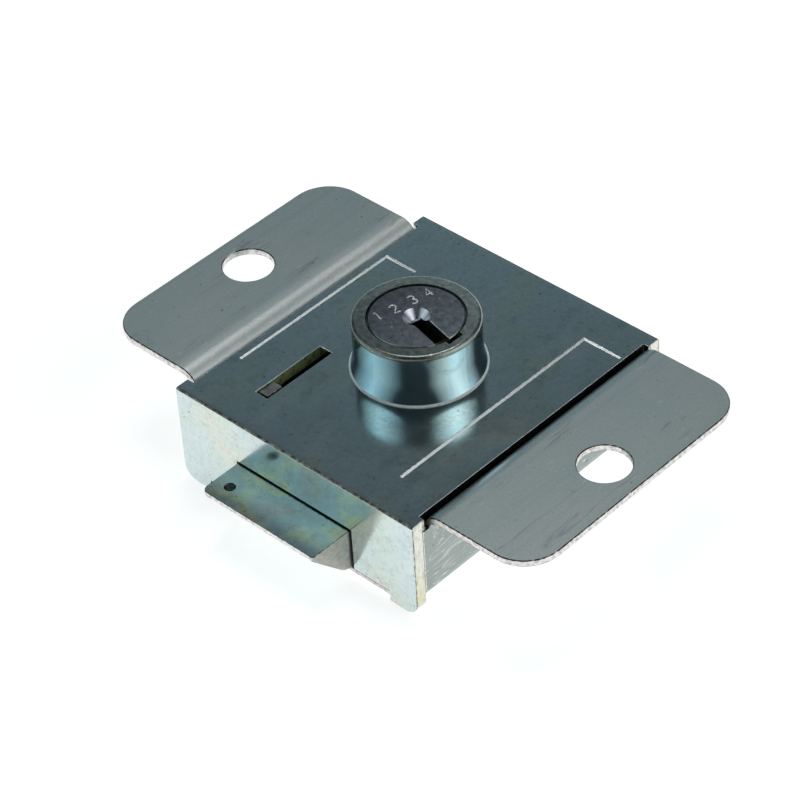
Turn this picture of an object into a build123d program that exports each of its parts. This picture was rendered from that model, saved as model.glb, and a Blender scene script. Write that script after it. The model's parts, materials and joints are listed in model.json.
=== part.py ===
from build123d import *
import os
from math import cos, sin, sqrt, radians

# Key-operated spring bolt lock for a locker or cupboard door, in pressed and plated steel.
# Millimetres. The origin is on the cylinder axis, in the plane of the ears' upper faces, which
# lie against the inside of the door. +Z runs out of the door towards the key, and the bolt
# shoots towards -Y. The ears lie along X.

# The case: a top plate with a front and a back wall, one bent piece
case_width = 46.8
axis_to_front = 26.74
axis_to_back = 26.39
case_height = 17.0
case_steel = 2.0
case_bend = 1.0
corner_length = 2.45
leg_width = 5.3
leg_drop = 1.9
leg_round = 2.2
ear_rise = 0.4
plate_left_gap = 0.07
plate_right_gap = 0.08
plate_edge_chamfer = 0.4

# The back pan: base, two side walls and two ears, one bent piece
pan_steel = 1.1
pan_ear_bend = 3.28
pan_foot_bend = 3.55
pan_inset = 0.03
pan_end_gap = 0.1
pan_tongue_gap = 0.05
pan_setback = 0.25
pan_leg_gap = 0.2
ear_front_inset = 1.29
ear_back_inset = 0.69
ear_corner = 6.2
ear_end = 6.59
hole_pitch = 70.5
hole_radius = 3.97

# Marks pressed into the top plate: two lines, each with a short leg at its back end
mark_width = 0.5
mark_depth = 0.12
mark_left_inset = 1.45
mark_left_front = 10.64
mark_left_back = 11.19
mark_left_leg = 5.9
mark_right_inset = 7.4
mark_right_front = 6.79
mark_right_back = 7.09
mark_right_leg = 6.85

# The plug, the shell round it and the sleeve round the shell, from the inside out
plug_radius = 6.5
plug_gap = 0.08
plug_head_step = 0.58
face_gap = 0.1
face_edge = 0.12
shell_wall = 2.02
shell_hole_gap = 0.1
sleeve_gap = 0.05
sleeve_wall = 0.9
sleeve_flare = 0.53
sleeve_foot = 0.72
flare_height = 3.2
foot_height = 0.15
foot_edge = 0.08
nozzle_height = 8.7
nozzle_edge = 0.6
head_depth = 0.8
shell_length = 15.9
notch_width = 2.9
notch_reach = 0.76
notch_depth = 4.0
notch_side = -0.25
groove_width = 4.8
groove_depth = 0.9
groove_end = 1.0

# The ring nut and its washer, under the top plate
washer_thick = 0.7
washer_rim = 2.2
washer_split = 1.2
washer_split_angle = 60.0
nut_thick = 2.2
nut_rim = 2.4
nut_slots = 4
nut_slot_width = 2.4
nut_slot_depth = 0.9
nut_slot_angle = 45.0
nut_chamfer = 0.3

# The plug's face, keyway, tail and clip
plug_sink = 0.1
plug_turn_at_rest = -13.5
keyway_width = 2.4
keyway_side = -0.17
keyway_start = -0.4
keyway_end_wall = 2.7
dish_radius = 2.05
dish_depth = 1.25
dish_floor_radius = 0.85
clip_thick = 0.8
clip_play = 0.1
clip_rim = 1.6
clip_seat_depth = 0.45
clip_seat_gap = 0.03
clip_gap_angle = 70.0
tail_play = 0.3

# The wafers, one above the other in the plug, each with its spring
wafer_count = 5
wafer_pitch = 2.3
wafer_first_depth = 3.2
wafer_thick = 0.9
wafer_width = 4.2
wafer_end_gap = 0.55
wafer_corner_gap = 0.06
wafer_play = 0.06
wafer_window_start = -1.6
wafer_window_end = 3.9
wafer_ear_width = 1.3
wafer_ear_start = 0.4
wafer_ear_length = 1.2
wafer_ear_root = 0.2
wafer_spring_wire = 0.28
wafer_spring_radius = 0.5
wafer_spring_coils = 5
wafer_spring_length = 3.0
wafer_spring_room = 0.12
wafer_spring_side = 0.1

# The cam under the plug, with its pin and screw
cam_rim = 0.6
cam_thick = 1.6
cam_square = 4.6
cam_square_gap = 0.05
cam_flat = 4.6
crank_angle_at_rest = -45.0
crank_pin_radius = 1.5
crank_pin_lift = 0.3
crank_pin_chamfer = 0.2
crank_play = 0.3
screw_shank_radius = 1.5
screw_shank_length = 3.6
screw_head_radius = 2.7
screw_head_thick = 1.6
screw_head_round = 0.3
screw_slot_width = 0.7
screw_play = 0.5

# The bolt: a bevelled head riveted on a sheet slide with an upturned tab
bolt_throw = 7.5
bolt_projection = 7.4
bolt_width = 22.35
bolt_centre = -0.33
bolt_top_below_plate = 7.9
bolt_floor_gap = 0.15
bolt_nose = 0.7
bolt_corner_left = 1.2
bolt_corner_right = 0.6
bolt_top_gap = 0.3
bolt_side_gap_left = 0.2
bolt_side_gap_right = 0.35
bevel_start = 1.2
bevel_round = 3.4
head_rear = 5.6
pick_hole_radius = 0.8
pick_hole_depth = 1.4
pick_hole_from_side = 2.83
pick_hole_from_tip = 3.05
slide_thick = 2.0
slide_edge = 1.15
slide_front_gap = 0.25
slide_rear = 9.0
slide_arm_root = 1.0
lug_thick = 1.4
lug_width = 6.0
lug_height = 4.95
rivet_radius = 1.4
rivet_spread = 13.0

# The tab on the slide and the slot in the top plate that shows it
tab_width = 1.7
tab_length = 3.0
tab_front_gap = 5.24
tab_nut_gap = 0.75
tab_head_gap = 0.2
tab_sink = 0.2
slot_width = 2.4
slot_length = 13.4
slot_front_gap = 0.48
slot_side_shift = 0.1

# Rails on the pan's base, and the bolt springs with their guide pins
rail_gap = 0.15
rail_width = 2.0
rail_lip = 0.75
rail_lip_thick = 0.9
rail_front_gap = 5.2
rail_rear_gap = 5.8
spring_spread = 18.0
bolt_spring_wire = 0.6
bolt_spring_radius = 2.0
bolt_spring_coils = 7
guide_radius = 1.3
guide_end_gap = 1.09
guide_chamfer = 0.4
guide_tail_radius = 1.0

# Levels, radii and places that follow from the sizes above
past = 1.0
plate_top = -ear_rise
plate_under = plate_top - case_steel
leg_bottom = plate_top - case_height
recess_z = leg_bottom + leg_drop
floor_top = recess_z
floor_under = floor_top - pan_steel
wall_front = -axis_to_front
wall_back = axis_to_back
inner_front = wall_front + case_steel
inner_back = wall_back - case_steel
half_width = case_width / 2
pan_outer = half_width - pan_inset
pan_inner = pan_outer - pan_steel
bend_drop = pan_ear_bend + plate_under + plate_edge_chamfer
bend_reach = pan_ear_bend - sqrt(pan_ear_bend ** 2 - bend_drop ** 2)
plate_left = -pan_inner + plate_left_gap
plate_right = pan_inner + bend_reach - plate_right_gap
ear_front = inner_front + ear_front_inset
ear_back = inner_back - ear_back_inset
ear_reach = hole_pitch / 2 + ear_end
plug_head_radius = plug_radius + plug_head_step
shell_bore = plug_radius + plug_gap
head_bore = plug_head_radius + plug_gap + face_gap
barrel_radius = shell_bore + shell_wall
sleeve_bore = barrel_radius + sleeve_gap
nozzle_radius = sleeve_bore + sleeve_wall
nozzle_top = plate_top + nozzle_height
head_under = nozzle_top - head_depth
shell_bottom = nozzle_top - shell_length
plug_top = nozzle_top - plug_sink
washer_under = plate_under - washer_thick
nut_under = washer_under - nut_thick
nut_outer = barrel_radius + nut_rim
clip_top = shell_bottom - clip_play
clip_under = clip_top - clip_thick
clip_seat_radius = plug_radius - clip_seat_depth
plug_bottom = clip_under - tail_play
keyway_bottom = plug_bottom + keyway_end_wall
cam_under = plug_bottom - cam_thick
crank_radius = bolt_throw / (2 * sin(radians(-crank_angle_at_rest)))
cam_radius = crank_radius + crank_pin_radius + cam_rim
bolt_top = plate_top - bolt_top_below_plate
bolt_under = floor_top + bolt_floor_gap
bolt_tip = wall_front - bolt_projection
bolt_left = bolt_centre - bolt_width / 2
bolt_right = bolt_centre + bolt_width / 2
slide_under = bolt_under
slide_top = slide_under + slide_thick
slide_front = inner_front + slide_front_gap
head_back = slide_front + head_rear
rivet_y = (slide_front + head_back) / 2
lug_back = slide_rear + lug_thick
lug_top = slide_top + lug_height
spring_z = (slide_top + lug_top) / 2
tab_x = -(nut_outer + tab_nut_gap + tab_width / 2)
tab_front = inner_front + tab_front_gap
slide_half = -tab_x + tab_width / 2 + slide_edge
guide_length = inner_back - lug_back - bolt_throw - guide_end_gap
slot_x = tab_x + slot_side_shift
slot_front = tab_front - slot_front_gap


def box(x0, x1, y0, y1, z0, z1):
    """A box from its lowest to its highest corner."""
    middle = ((x0 + x1) / 2, (y0 + y1) / 2, (z0 + z1) / 2)
    return Pos(*middle) * Box(x1 - x0, y1 - y0, z1 - z0)


def disc(radius, z0, z1, x=0.0, y=0.0):
    """An upright cylinder between two levels."""
    return Pos(x, y, (z0 + z1) / 2) * Cylinder(radius, z1 - z0)


def turned(points):
    """A solid of revolution about Z, from its half outline as radius and level."""
    outline = Plane.XZ * Polyline(*points, close=True)
    return revolve(make_face(outline), Axis.Z)


def along_y(shape, x, y, z):
    """Lays a shape built along +Z so that it runs along +Y from a point."""
    return Pos(x, y, z) * Rot(-90, 0, 0) * shape


def coil(radius, wire, turns, length):
    """A compression spring along +Z, from 0 to its length, measured over the wire."""
    rise = length - wire
    path = Helix(rise / turns, rise, radius)
    section = Plane(path @ 0, z_dir=path % 0) * Circle(wire / 2)
    return Pos(0, 0, wire / 2) * sweep(section, path=path, is_frenet=True)


def case():
    """Top plate with front and back walls, four legs, the bolt opening and the tab slot."""
    outside = box(-half_width, half_width, wall_front, wall_back, leg_bottom, plate_top)
    bends = outside.edges().filter_by(Axis.X).group_by(Axis.Z)[-1]
    outside = fillet(bends, case_bend)
    feet = outside.edges().filter_by(Axis.Y).group_by(Axis.Z)[0]
    outside = fillet(feet, leg_round)
    below = leg_bottom - past
    shell = outside - box(-case_width, case_width, inner_front, inner_back, below, plate_under)
    side_front = wall_front + corner_length
    side_back = wall_back - corner_length
    low = plate_under - past
    high = plate_top + past
    shell -= box(-case_width, plate_left, side_front, side_back, low, high)
    shell -= box(plate_right, case_width, side_front, side_back, low, high)
    chamfer_side = plate_edge_chamfer * sqrt(2)
    corner = Rot(0, 45, 0) * Box(chamfer_side, side_back - side_front, chamfer_side)
    for edge in (plate_left, plate_right):
        shell -= Pos(edge, (side_front + side_back) / 2, plate_under) * corner
    leg_inner = half_width - leg_width
    shell -= box(-leg_inner, leg_inner, wall_front - past, wall_back + past, below, recess_z)
    shell -= box(
        bolt_left - bolt_side_gap_left, bolt_right + bolt_side_gap_right,
        wall_front - past, inner_front + past, below, bolt_top + bolt_top_gap,
    )
    slot_left = slot_x - slot_width / 2
    slot_back = slot_front + slot_length
    shell -= box(slot_left, slot_left + slot_width, slot_front, slot_back, low, high)
    shell -= disc(barrel_radius + shell_hole_gap, low, high)
    for x in spring_places():
        shell -= along_y(Cylinder(guide_tail_radius, 2 * case_steel + past), x, wall_back, spring_z)
    return shell - marks()


def marks():
    """The two pressed lines on the top plate, each with a short leg towards +X at its back end."""
    cutters = []
    low = plate_top - mark_depth
    high = plate_top + past
    half = mark_width / 2
    lines = (
        (plate_left + mark_left_inset, mark_left_front, mark_left_back, mark_left_leg),
        (plate_right - mark_right_inset, mark_right_front, mark_right_back, mark_right_leg),
    )
    for x, from_front, from_back, leg in lines:
        front = wall_front + from_front
        back = wall_back - from_back
        cutters.append(box(x - half, x + half, front, back + half, low, high))
        cutters.append(box(x - half, x + leg, back - half, back + half, low, high))
    return cutters[0] + cutters[1] + cutters[2] + cutters[3]


def pan_outline():
    """Half the pan seen along Y: from the middle of the base, up the side wall and out to the ear's end."""
    inner_foot = pan_foot_bend - pan_steel
    under_ear = pan_ear_bend - pan_steel
    bend_x = pan_inner + pan_ear_bend
    foot_x = pan_outer - pan_foot_bend
    foot_z = floor_under + pan_foot_bend
    with BuildSketch(Plane.XZ) as outline:
        with BuildLine():
            Line((0, floor_top), (foot_x, floor_top))
            CenterArc((foot_x, foot_z), inner_foot, -90, 90)
            Line((pan_inner, foot_z), (pan_inner, -pan_ear_bend))
            CenterArc((bend_x, -pan_ear_bend), pan_ear_bend, 90, 90)
            Polyline((bend_x, 0), (ear_reach, 0), (ear_reach, -pan_steel), (bend_x, -pan_steel))
            CenterArc((bend_x, -pan_ear_bend), under_ear, 90, 90)
            Line((pan_outer, -pan_ear_bend), (pan_outer, foot_z))
            CenterArc((foot_x, foot_z), pan_foot_bend, -90, 90)
            Polyline((foot_x, floor_under), (0, floor_under), (0, floor_top))
        make_face()
    return outline.sketch


def back_pan():
    """Base, side walls and ears. Walls and base fill the case's length, and the base runs on under it."""
    front = inner_front + pan_end_gap
    back = inner_back - pan_end_gap
    half = Pos(0, back, 0) * extrude(pan_outline(), amount=back - front)
    tongue_top = plate_under - pan_tongue_gap
    half -= box(-past, ear_reach + past, front - past, ear_front, tongue_top, past)
    half -= box(-past, ear_reach + past, ear_back, back + past, tongue_top, past)
    tips = half.edges().filter_by(Axis.Z).group_by(Axis.X)[-1]
    half = fillet(tips, ear_corner)
    half -= disc(hole_radius, -pan_steel - past, past, hole_pitch / 2)
    tab_side = half_width - leg_width - pan_leg_gap
    tongue = box(
        -tab_side, tab_side, wall_front + pan_setback, wall_back - pan_setback, floor_under, floor_top
    )
    return half + mirror(half, about=Plane.YZ) + tongue


def nozzle_sleeve():
    """The plated sleeve between the plate and the shell's head: it flares to its foot."""
    foot_radius = nozzle_radius + sleeve_foot
    flare_radius = nozzle_radius + sleeve_flare
    foot_top = plate_top + foot_height
    flare_top = foot_top + flare_height
    with BuildPart() as sleeve:
        with BuildSketch(Plane.XZ):
            with BuildLine():
                Line((flare_radius, foot_top), (foot_radius - foot_edge, foot_top))
                CenterArc((foot_radius - foot_edge, foot_top - foot_edge), foot_edge, 0, 90)
                Polyline(
                    (foot_radius, foot_top - foot_edge), (foot_radius, plate_top), (sleeve_bore, plate_top),
                    (sleeve_bore, head_under), (nozzle_radius, head_under), (nozzle_radius, flare_top),
                )
                TangentArc((nozzle_radius, flare_top), (flare_radius, foot_top), tangent=(0, -1))
            make_face()
        revolve(axis=Axis.Z)
    return sleeve.part


def rim_edges(body):
    """The round edges of a turned body's top face, the smallest first."""
    return body.edges().filter_by(GeomType.CIRCLE).group_by(Axis.Z)[-1].sort_by(SortBy.RADIUS)


def cylinder_shell():
    """The cylinder's fixed housing: head, barrel, stepped bore, key notch and wafer grooves."""
    body = turned([
        (head_bore, nozzle_top), (nozzle_radius, nozzle_top), (nozzle_radius, head_under),
        (barrel_radius, head_under), (barrel_radius, shell_bottom), (shell_bore, shell_bottom),
        (shell_bore, head_under), (head_bore, head_under),
    ])
    body = fillet(rim_edges(body)[-1], nozzle_edge)
    body = chamfer(rim_edges(body)[0], face_edge)
    body -= box(
        0, head_bore + notch_reach, notch_side - notch_width / 2, notch_side + notch_width / 2,
        nozzle_top - notch_depth, nozzle_top + past,
    )
    low = wafer_level(wafer_count - 1) - groove_end
    high = wafer_level(0) + groove_end
    reach = plug_radius + groove_depth
    groove = box(-reach, reach, -groove_width / 2, groove_width / 2, low, high) & disc(reach, low, high)
    return body - Rot(0, 0, plug_turn_at_rest) * groove


def lock_washer():
    """A split spring washer between the plate and the ring nut."""
    outer = barrel_radius + washer_rim
    ring = disc(outer, washer_under, plate_under)
    ring -= disc(barrel_radius + shell_hole_gap, washer_under - past, plate_under + past)
    half = washer_split / 2
    split = box(0, outer + past, -half, half, washer_under - past, plate_under + past)
    return ring - Rot(0, 0, washer_split_angle) * split


def ring_nut():
    """The ring nut that pulls the cylinder down, with slots for a pin spanner."""
    ring = disc(nut_outer, nut_under, washer_under)
    ring = chamfer(ring.edges().filter_by(GeomType.CIRCLE), nut_chamfer)
    ring -= disc(barrel_radius, nut_under - past, washer_under + past)
    half = nut_slot_width / 2
    root = nut_outer - nut_slot_depth
    slot = box(root, nut_outer + past, -half, half, nut_under - past, washer_under + past)
    for index in range(nut_slots):
        ring -= Rot(0, 0, nut_slot_angle + index * 360 / nut_slots) * slot
    return ring


def wafer_level(index):
    """The middle level of a wafer, counted from the key's side."""
    return plug_top - wafer_first_depth - index * wafer_pitch


def wafer_side(index):
    """Wafers have their spring on alternate sides of the keyway."""
    return 1 if index % 2 == 0 else -1


def on_side(shape, index):
    """Puts a shape built on the keyway's +Y side on the side where this wafer has its spring."""
    return shape if wafer_side(index) > 0 else mirror(shape, about=Plane.XZ)


def wafer(index):
    """A wafer: a plate with a window for the key and an ear for its spring."""
    level = wafer_level(index)
    low = level - wafer_thick / 2
    high = level + wafer_thick / 2
    half = wafer_width / 2
    reach = sqrt(plug_radius ** 2 - half ** 2) - wafer_end_gap
    plate = box(-reach, reach, -half, half, low, high)
    plate = plate & disc(plug_radius - wafer_corner_gap, low - past, high + past)
    ear_end_x = wafer_ear_start + wafer_ear_length
    ear = box(wafer_ear_start, ear_end_x, half - wafer_ear_root, half + wafer_ear_width, low, high)
    low_side = keyway_side - keyway_width / 2
    high_side = keyway_side + keyway_width / 2
    window = box(wafer_window_start, wafer_window_end, low_side, high_side, low - past, high + past)
    return Rot(0, 0, plug_turn_at_rest) * (plate + on_side(ear, index) - window)


def wafer_spring_middle():
    """How far a wafer spring's axis lies from the middle of the keyway."""
    return (wafer_width + wafer_ear_width) / 2 + wafer_play + wafer_spring_side


def wafer_spring(index):
    """The small spring that pushes a wafer out."""
    spring = coil(wafer_spring_radius, wafer_spring_wire, wafer_spring_coils, wafer_spring_length)
    x = wafer_ear_start - wafer_spring_length
    y = wafer_side(index) * wafer_spring_middle()
    return Rot(0, 0, plug_turn_at_rest) * (Pos(x, y, wafer_level(index)) * Rot(0, 90, 0) * spring)


def wafer_slot(index):
    """The slot in the plug for one wafer, with the pocket for its ear and spring."""
    level = wafer_level(index)
    low = level - wafer_thick / 2 - wafer_play
    high = level + wafer_thick / 2 + wafer_play
    half = wafer_width / 2 + wafer_play
    reach = plug_radius + past
    cut = box(-reach, reach, -half, half, low, high)
    start = wafer_ear_start - wafer_spring_length
    end = wafer_ear_start + wafer_ear_length + wafer_play
    cut += on_side(box(start, end, half - wafer_ear_root, half + wafer_ear_width, low, high), index)
    room = wafer_spring_radius + wafer_spring_wire / 2 + wafer_spring_room
    middle = wafer_spring_middle()
    tunnel = box(start, wafer_ear_start, middle - room, middle + room, level - room, level + room)
    return cut + on_side(tunnel, index)


def plug():
    """The turning plug, with its keyway, centre dish, wafer slots, clip groove and square tail."""
    shoulder = head_under + plug_gap
    body = turned([
        (0, plug_top), (plug_head_radius, plug_top), (plug_head_radius, shoulder),
        (plug_radius, shoulder), (plug_radius, plug_bottom), (0, plug_bottom),
    ])
    body = chamfer(rim_edges(body)[-1], face_edge)
    groove = disc(plug_radius + past, clip_under, clip_top)
    groove -= disc(clip_seat_radius, clip_under - past, clip_top + past)
    body -= groove
    tail = cam_square / 2
    body += box(-tail, tail, -tail, tail, cam_under, plug_bottom)
    body -= disc(screw_shank_radius, cam_under - past, cam_under + screw_shank_length)
    low_side = keyway_side - keyway_width / 2
    high_side = keyway_side + keyway_width / 2
    body -= box(keyway_start, plug_head_radius + past, low_side, high_side, keyway_bottom, plug_top + past)
    dish_floor = plug_top - dish_depth
    body -= turned([(0, plug_top), (dish_radius, plug_top), (dish_floor_radius, dish_floor), (0, dish_floor)])
    for index in range(wafer_count):
        body -= wafer_slot(index)
    return Rot(0, 0, plug_turn_at_rest) * body


def plug_clip():
    """The clip that holds the plug in the shell."""
    outer = plug_radius + clip_rim
    ring = disc(outer, clip_under, clip_top)
    ring -= disc(clip_seat_radius + clip_seat_gap, clip_under - past, clip_top + past)
    half = radians(clip_gap_angle / 2)
    reach = 2 * outer
    wedge = make_face(Polyline(
        (0, 0), (-reach * cos(half), reach * sin(half)), (-reach * cos(half), -reach * sin(half)), close=True,
    ))
    return ring - Pos(0, 0, clip_under - past) * extrude(wedge, amount=clip_thick + 2 * past)


def crank_place():
    """Where the crank pin stands at rest."""
    angle = radians(crank_angle_at_rest)
    return crank_radius * cos(angle), crank_radius * sin(angle)


def cam_plate():
    """The cam: a round plate on the plug's square tail, trimmed on the side away from the pin."""
    plate = disc(cam_radius, cam_under, plug_bottom)
    hole = cam_square / 2 + cam_square_gap
    square = box(-hole, hole, -hole, hole, cam_under - past, plug_bottom + past)
    reach = cam_radius + past
    flat = box(-reach, -cam_flat, -reach, reach, cam_under - past, plug_bottom + past)
    plate -= Rot(0, 0, plug_turn_at_rest) * square
    plate -= Rot(0, 0, crank_angle_at_rest) * flat
    x, y = crank_place()
    return plate - disc(crank_pin_radius, cam_under - past, plug_bottom + past, x, y)


def crank_pin():
    """The pin riveted in the cam, which drives the slide."""
    x, y = crank_place()
    pin = disc(crank_pin_radius, slide_under + crank_pin_lift, plug_bottom, x, y)
    return chamfer(pin.edges().group_by(Axis.Z)[0], crank_pin_chamfer)


def cam_screw():
    """The cheese-head screw that holds the cam on the plug."""
    under = cam_under - screw_head_thick
    head = disc(screw_head_radius, under, cam_under)
    head = fillet(head.edges().group_by(Axis.Z)[0], screw_head_round)
    shank = disc(screw_shank_radius, cam_under, cam_under + screw_shank_length)
    half = screw_slot_width / 2
    reach = screw_head_radius + past
    slot = box(-reach, reach, -half, half, under - past, under + screw_head_thick / 2)
    return head + shank - slot


def bolt_head():
    """The bevelled head: flat on top, bevelled underneath, stepped at the back over the slide."""
    nose_under = bolt_top - bolt_nose
    bevel_end = wall_front - bevel_start
    outline = Plane.YZ * make_face(Polyline(
        (bolt_tip, bolt_top), (head_back, bolt_top), (head_back, slide_top), (slide_front, slide_top),
        (slide_front, bolt_under), (bevel_end, bolt_under), (bolt_tip, nose_under), close=True,
    ))
    body = Pos(bolt_left, 0, 0) * extrude(outline, amount=bolt_width)
    body = fillet(body.edges().filter_by_position(Axis.Y, bevel_end, bevel_end), bevel_round)
    for place, size in ((0, bolt_corner_left), (-1, bolt_corner_right)):
        body = fillet(body.edges().filter_by(Axis.Z).group_by(Axis.Y)[0].sort_by(Axis.X)[place], size)
    body -= disc(
        pick_hole_radius, bolt_top - pick_hole_depth, bolt_top + past,
        bolt_left + pick_hole_from_side, bolt_tip + pick_hole_from_tip,
    )
    for x in rivet_places():
        body -= disc(rivet_radius, slide_top - past, bolt_top + past, x, rivet_y)
    tab_room = tab_width / 2 + tab_head_gap
    return body - box(
        tab_x - tab_room, tab_x + tab_room, tab_front - tab_head_gap, head_back + past,
        slide_top - past, bolt_top + past,
    )


def rivet_places():
    """Where the two rivets stand across the bolt."""
    return bolt_centre - rivet_spread / 2, bolt_centre + rivet_spread / 2


def bolt_slide():
    """The sheet slide: window for the crank pin, upturned tab and two spring lugs."""
    sheet = box(-slide_half, slide_half, slide_front, lug_back, slide_under, slide_top)
    sheet -= crank_window() + screw_window()
    arm_gap = (spring_spread - lug_width) / 2
    arm_front = slide_rear - slide_arm_root
    sheet -= box(-arm_gap, arm_gap, arm_front, lug_back + past, slide_under - past, slide_top + past)
    for x in spring_places():
        sheet += box(x - lug_width / 2, x + lug_width / 2, slide_rear, lug_back, slide_top, lug_top)
    sheet += box(
        tab_x - tab_width / 2, tab_x + tab_width / 2, tab_front, tab_front + tab_length,
        slide_top, plate_top - tab_sink,
    )
    for x in rivet_places():
        sheet -= disc(rivet_radius, slide_under - past, slide_top + past, x, rivet_y)
    return sheet


def crank_window():
    """The opening round the crank pin, long enough for the bolt to be pushed in by itself."""
    x, y = crank_place()
    room = crank_pin_radius + crank_play
    return box(
        x - room, crank_radius + room, y - room - bolt_throw, y + room, slide_under - past, slide_top + past
    )


def screw_window():
    """The opening under the cam's screw, so that the screw clears the slide over the bolt's travel."""
    room = screw_head_radius + screw_play
    return box(-room, room, -room - bolt_throw, room, slide_under - past, slide_top + past)


def bolt_rivets():
    """Two rivets through the head and the slide, dressed flush."""
    return [disc(rivet_radius, slide_under, bolt_top, x, rivet_y) for x in rivet_places()]


def slide_rails():
    """Two rails on the pan's base that guide the slide and hold it down."""
    inner = slide_half + rail_gap
    outer = inner + rail_width
    lip_under = slide_top + rail_gap
    lip_top = lip_under + rail_lip_thick
    front = inner_front + rail_front_gap
    back = inner_back - rail_rear_gap
    rail = box(inner, outer, front, back, floor_top, lip_top)
    rail += box(slide_half - rail_lip, outer, front, back, lip_under, lip_top)
    return [rail, mirror(rail, about=Plane.YZ)]


def spring_places():
    """Where the two bolt springs lie across the lock."""
    return -spring_spread / 2, spring_spread / 2


def bolt_springs():
    """Two springs between the slide's lugs and the back wall."""
    length = inner_back - lug_back
    spring = coil(bolt_spring_radius, bolt_spring_wire, bolt_spring_coils, length)
    return [along_y(spring, x, lug_back, spring_z) for x in spring_places()]


def spring_guides():
    """Two pins in the back wall, each inside a bolt spring."""
    pin = Pos(0, 0, -guide_length / 2) * Cylinder(guide_radius, guide_length)
    pin = chamfer(pin.edges().group_by(Axis.Z)[0], guide_chamfer)
    pin += Pos(0, 0, case_steel / 2) * Cylinder(guide_tail_radius, case_steel)
    return [along_y(pin, x, inner_back, spring_z) for x in spring_places()]


def write(name, shape):
    """Writes one sub-part, a single solid or a group of separate ones."""
    group = shape if isinstance(shape, list) else [shape]
    solids = [solid for item in group for solid in item.solids()]
    export_step(solids[0] if len(solids) == 1 else Compound(children=solids), f"parts/{name}.step")


os.makedirs("parts", exist_ok=True)
write("case", case())
write("back_pan", back_pan())
write("nozzle_sleeve", nozzle_sleeve())
write("cylinder_shell", cylinder_shell())
write("lock_washer", lock_washer())
write("ring_nut", ring_nut())
write("plug", plug())
for number in range(wafer_count):
    write(f"wafer_{number + 1}", wafer(number))
    write(f"wafer_spring_{number + 1}", wafer_spring(number))
write("plug_clip", plug_clip())
write("cam_plate", cam_plate())
write("crank_pin", crank_pin())
write("cam_screw", cam_screw())
write("bolt_head", bolt_head())
write("bolt_slide", bolt_slide())
write("bolt_rivets", bolt_rivets())
write("slide_rails", slide_rails())
write("bolt_springs", bolt_springs())
write("spring_guides", spring_guides())
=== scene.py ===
import bpy
import bmesh
import json
from math import cos, sin, tan, pi, radians
from mathutils import Matrix, Vector


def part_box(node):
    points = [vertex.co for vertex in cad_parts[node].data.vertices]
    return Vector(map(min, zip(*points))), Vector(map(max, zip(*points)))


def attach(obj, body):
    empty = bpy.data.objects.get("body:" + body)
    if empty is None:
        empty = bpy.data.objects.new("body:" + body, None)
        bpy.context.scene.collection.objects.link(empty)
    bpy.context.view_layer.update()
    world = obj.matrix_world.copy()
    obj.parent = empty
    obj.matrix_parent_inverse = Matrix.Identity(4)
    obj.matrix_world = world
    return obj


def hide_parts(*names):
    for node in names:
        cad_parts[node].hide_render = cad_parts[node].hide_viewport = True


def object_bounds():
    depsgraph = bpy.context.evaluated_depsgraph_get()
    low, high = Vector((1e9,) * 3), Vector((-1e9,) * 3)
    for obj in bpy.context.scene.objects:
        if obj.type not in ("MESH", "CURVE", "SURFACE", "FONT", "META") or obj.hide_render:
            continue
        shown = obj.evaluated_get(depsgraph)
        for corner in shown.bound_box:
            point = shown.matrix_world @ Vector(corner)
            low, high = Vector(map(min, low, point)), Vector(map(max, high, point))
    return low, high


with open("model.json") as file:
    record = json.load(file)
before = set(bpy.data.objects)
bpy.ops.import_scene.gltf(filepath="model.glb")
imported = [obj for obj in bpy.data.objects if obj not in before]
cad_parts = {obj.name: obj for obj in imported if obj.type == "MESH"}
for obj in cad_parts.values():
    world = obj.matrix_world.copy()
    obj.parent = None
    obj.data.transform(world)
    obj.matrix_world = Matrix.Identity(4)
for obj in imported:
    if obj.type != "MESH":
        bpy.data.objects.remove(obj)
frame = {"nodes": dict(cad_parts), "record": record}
cad_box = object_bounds()

MM = 0.001

# The photograph's view: the camera turns about a place near the middle of the case, level with its legs
VIEW_AZIMUTH = 45.476
VIEW_ELEVATION = 40.49
VIEW_ROLL = -3.76
VIEW_DISTANCE = 462.925 * MM
VIEW_SHIFT_RIGHT = -2.818 * MM
VIEW_SHIFT_UP = 7.825 * MM
VIEW_CENTRE = Vector((0, -0.44 * MM, -17.4 * MM))
FOCAL_PIXELS = 3108.76
PICTURE_PIXELS = 800
SENSOR_WIDTH = 36.0

# The camera sees from here to there, in metres
CLIP_START = 0.01
CLIP_END = 20

# The studio's shades, behind the lock at a rise in degrees and elsewhere, and the cosine where they meet
SURROUND_BACK = (0.190, 0.260, 0.300)
SURROUND = (0.014, 0.019, 0.021)
SURROUND_RISE = 10
SURROUND_START = 0.75

# Lights: turns are to the right of the camera, in degrees, and sizes and distances are in metres
OVERHEAD_TURN = 180
OVERHEAD_RISE = 72
OVERHEAD_DISTANCE = 1.3
OVERHEAD_SIZE = 0.55
OVERHEAD_RADIANCE = 3.0
SOFTBOX_RISE = 27
SOFTBOX_HEIGHT = 1.06
SOFTBOX_DISTANCE = 1.0
SOFTBOX_STRIPS = 8
STRIP_GAP = 0.01
LEFT_TURN = -84
LEFT_TINT = (0.80, 0.99, 1.0)
RIGHT_TURN = 64
RIGHT_TINT = (0.93, 1.0, 1.0)

# Each softbox: half the angle that it fills, half the angle of its brightest strip, and its peak
LEFT_FALL = (40, 4, 0.78)
RIGHT_FALL = (38, 4, 1.32)

# The floor's glow, and where it fades: distances in metres from a place behind the lock
FLOOR_LEVEL = cad_box[0][2]
FLOOR_HALF_WIDTH = 3.0
FLOOR_GLOW = 0.74
FLOOR_GLOW_FAR = 0.06
GLOW_PLACE = 0.45
GLOW_FADE_START = 0.62
GLOW_FADE_END = 0.86

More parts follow.
